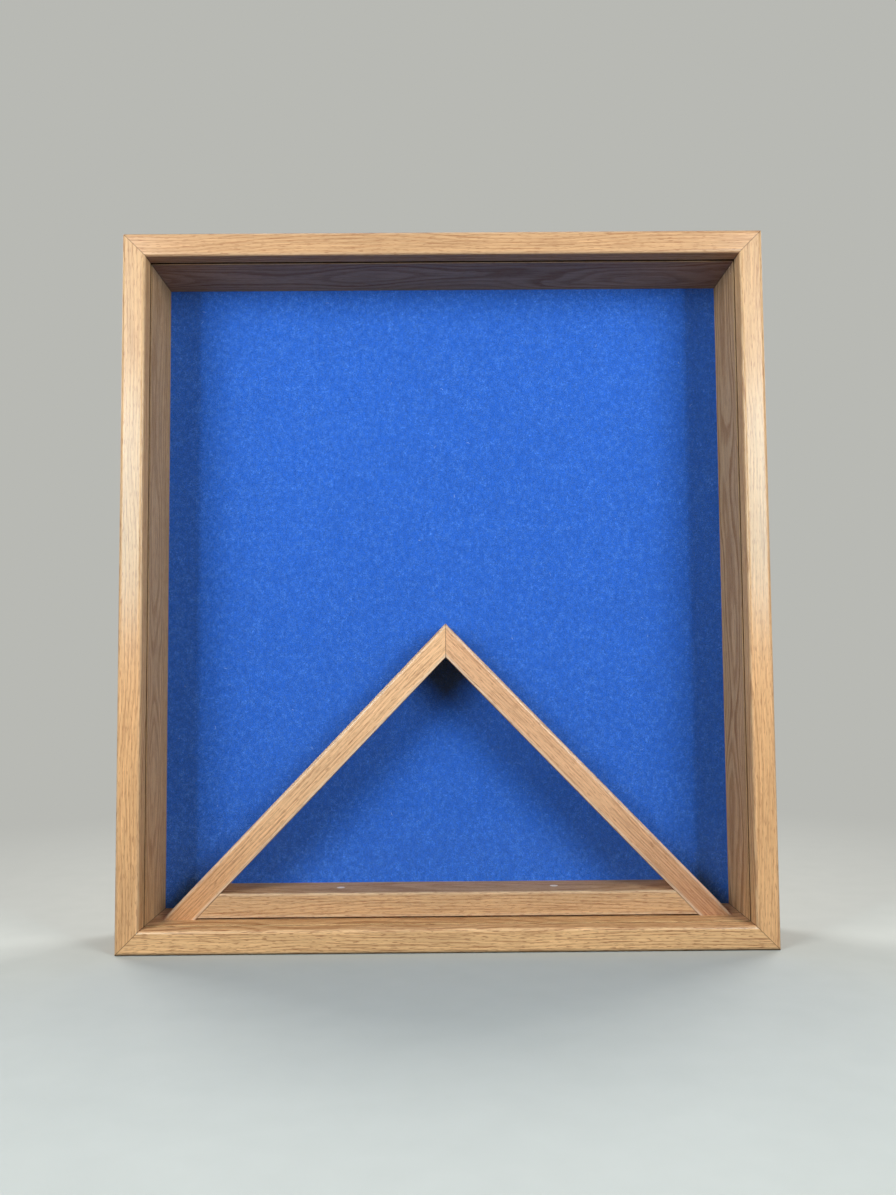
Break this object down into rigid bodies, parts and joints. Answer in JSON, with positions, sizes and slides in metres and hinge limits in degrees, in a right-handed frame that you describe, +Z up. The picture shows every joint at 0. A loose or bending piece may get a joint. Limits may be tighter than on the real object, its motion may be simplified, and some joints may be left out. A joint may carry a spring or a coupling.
{
  "type": "flag shadow box",
  "caption": "Upright glazed oak shadow box with a blue felt back and an oak triangle on its floor for a folded flag.",
  "frame": {"origin": "centre of the flat underside of the bottom rail, half way between the front and rear edges", "axes": "+Z up the height of the case, +Y from the glazed front to the back, +X to the right seen from the front"},
  "size_m": [0.508, 0.0937, 0.563],
  "materials": {
    "oak": "light oak with open pores under satin varnish",
    "biscuit_beech": "pressed beech, hidden",
    "plug_birch": "pale plain grain, flush",
    "panel_plywood": "thin unfinished plywood",
    "felt_blue": "short matted craft felt",
    "clear_glass": "clear float glass",
    "zinc_steel": "zinc plated",
    "bumper_rubber": "matt soft rubber"
  },
  "bodies": {
    "case": {"top_rail": "oak", "bottom_rail": "oak", "left_side": "oak", "right_side": "oak", "corner_biscuits": "biscuit_beech", "glass_pane": "clear_glass", "flag_left_strip": "oak", "flag_right_strip": "oak", "flag_base_strip": "oak", "flag_base_screws": "zinc_steel", "flag_base_plugs": "plug_birch", "flag_frame_brads": "zinc_steel", "wall_bumpers": "bumper_rubber"},
    "back": {"backing_board": "panel_plywood", "felt_lining": "felt_blue", "panel_screws": "zinc_steel", "left_hanger_strap": "zinc_steel", "right_hanger_strap": "zinc_steel", "hanger_screws": "zinc_steel"},
    "left_ring": {"left_hanger_ring": "zinc_steel"},
    "right_ring": {"right_hanger_ring": "zinc_steel"}
  },
  "joints": [
    {"name": "back_lift_off", "type": "slide", "parent": "case", "child": "back", "axis": [0, 1, 0], "range_m": [0, 0.15]},
    {"name": "left_ring_swing", "type": "hinge", "parent": "back", "child": "left_ring", "pos_m": [-0.2402, 0.04655, 0.41], "axis": [1, 0, 0], "range_deg": [0, 165]},
    {"name": "right_ring_swing", "type": "hinge", "parent": "back", "child": "right_ring", "pos_m": [0.2402, 0.04655, 0.41], "axis": [1, 0, 0], "range_deg": [0, 165]}
  ]
}
